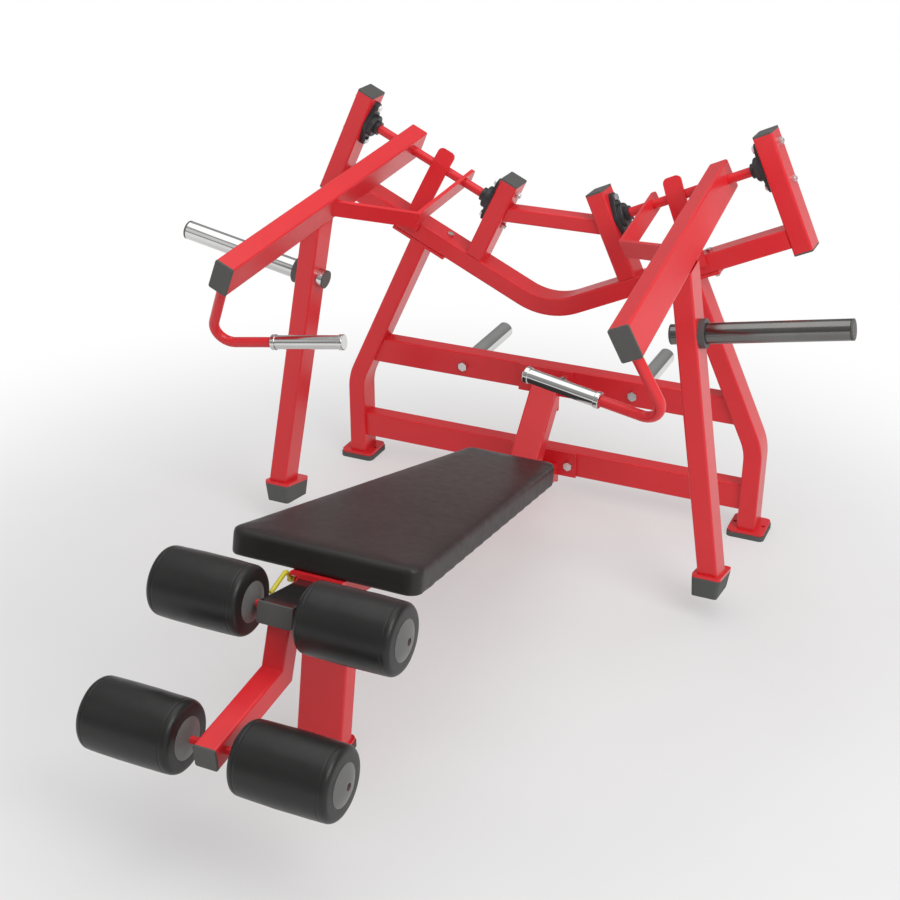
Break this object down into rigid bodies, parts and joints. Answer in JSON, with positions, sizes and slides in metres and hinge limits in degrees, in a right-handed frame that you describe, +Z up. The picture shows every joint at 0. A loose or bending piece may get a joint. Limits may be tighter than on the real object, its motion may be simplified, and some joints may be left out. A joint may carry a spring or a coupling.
{
  "type": "plate-loaded chest press bench",
  "caption": "Plate-loaded decline chest press bench: splayed rear frame, two pivoting press arms with weight horns, sloped padded bench and roller leg holder.",
  "frame": {"origin": "on the floor, under the middle of the machine's envelope in its rest pose", "axes": "+X towards the machine's right arm as seen from the leg rollers, +Y towards the weight-storage horns at the rear, +Z up"},
  "size_m": [1.7606, 2.09, 1.116],
  "materials": {
    "black_cast": "painted",
    "black_steel": "satin",
    "chrome": "polished",
    "foam_black": "matt",
    "grey_plastic": "matt",
    "red_paint": "gloss",
    "rubber": "matt",
    "vinyl": "satin vinyl",
    "wood": "plywood",
    "yellow": "gloss",
    "zinc": "zinc plated"
  },
  "bodies": {
    "frame": {"bench_pad": "vinyl", "bolts": "zinc", "flange_plates": "red_paint", "foot_pads": "rubber", "foot_plates": "red_paint", "front_post": "red_paint", "left_bearings": "black_cast", "left_inner_post": "red_paint", "left_leg": "red_paint", "left_outer_post": "red_paint", "left_storage_horn": "chrome", "lower_crossbar": "red_paint", "nuts": "zinc", "pad_board": "wood", "pad_mount_plate": "red_paint", "post_caps": "grey_plastic", "rear_strut": "red_paint", "right_bearings": "black_cast", "right_inner_post": "red_paint", "right_leg": "red_paint", "right_outer_post": "red_paint", "right_storage_horn": "chrome", "spine_tube": "red_paint", "tie_bar": "red_paint", "upper_crossbar": "red_paint", "v_beam": "red_paint"},
    "right_arm": {"right_arm_tube": "red_paint", "right_arm_caps": "grey_plastic", "right_handle": "red_paint", "right_grip": "chrome", "right_bracket": "red_paint", "right_stop_tab": "red_paint", "right_pivot_shaft": "red_paint", "right_lever_post": "red_paint", "right_boot": "rubber", "right_weight_horn": "chrome"},
    "left_arm": {"left_arm_tube": "red_paint", "left_arm_caps": "grey_plastic", "left_handle": "red_paint", "left_grip": "chrome", "left_bracket": "red_paint", "left_stop_tab": "red_paint", "left_pivot_shaft": "red_paint", "left_lever_post": "red_paint", "left_boot": "rubber", "left_weight_horn": "chrome"},
    "leg_holder": {"holder_tube": "black_steel", "holder_caps": "grey_plastic", "roller_stem": "red_paint", "upper_axle": "red_paint", "lower_axle": "red_paint"},
    "clamp_lever": {"clamp_lever": "yellow"},
    "upper_left_roller": {"upper_left_roller": "foam_black", "upper_left_hubs": "grey_plastic"},
    "upper_right_roller": {"upper_right_roller": "foam_black", "upper_right_hubs": "grey_plastic"},
    "lower_left_roller": {"lower_left_roller": "foam_black", "lower_left_hubs": "grey_plastic"},
    "lower_right_roller": {"lower_right_roller": "foam_black", "lower_right_hubs": "grey_plastic"}
  },
  "joints": [
    {"name": "right_arm_pivot", "type": "hinge", "parent": "frame", "child": "right_arm", "pos_m": [0.36456, 0.7625, 0.93133], "axis": [-0.9063, 0, -0.4226], "range_deg": [0, 34]},
    {"name": "left_arm_pivot", "type": "hinge", "parent": "frame", "child": "left_arm", "pos_m": [-0.36456, 0.7625, 0.93133], "axis": [-0.9063, 0, 0.4226], "range_deg": [0, 34]},
    {"name": "leg_holder_slide", "type": "slide", "parent": "frame", "child": "leg_holder", "axis": [0, -0.9718, 0.236], "range_m": [0, 0.1]},
    {"name": "clamp_lever_turn", "type": "hinge", "parent": "frame", "child": "clamp_lever", "pos_m": [-0.055, -0.556, 0.402], "axis": [1, 0, 0], "range_deg": [0, 60]},
    {"name": "upper_left_roller_spin", "type": "hinge", "parent": "leg_holder", "child": "upper_left_roller", "pos_m": [-0.1675, -0.716, 0.438], "axis": [1, 0, 0], "continuous": true},
    {"name": "upper_right_roller_spin", "type": "hinge", "parent": "leg_holder", "child": "upper_right_roller", "pos_m": [0.1675, -0.716, 0.438], "axis": [1, 0, 0], "continuous": true},
    {"name": "lower_left_roller_spin", "type": "hinge", "parent": "leg_holder", "child": "lower_left_roller", "pos_m": [-0.1675, -0.97, 0.28], "axis": [1, 0, 0], "continuous": true},
    {"name": "lower_right_roller_spin", "type": "hinge", "parent": "leg_holder", "child": "lower_right_roller", "pos_m": [0.1675, -0.97, 0.28], "axis": [1, 0, 0], "continuous": true}
  ]
}
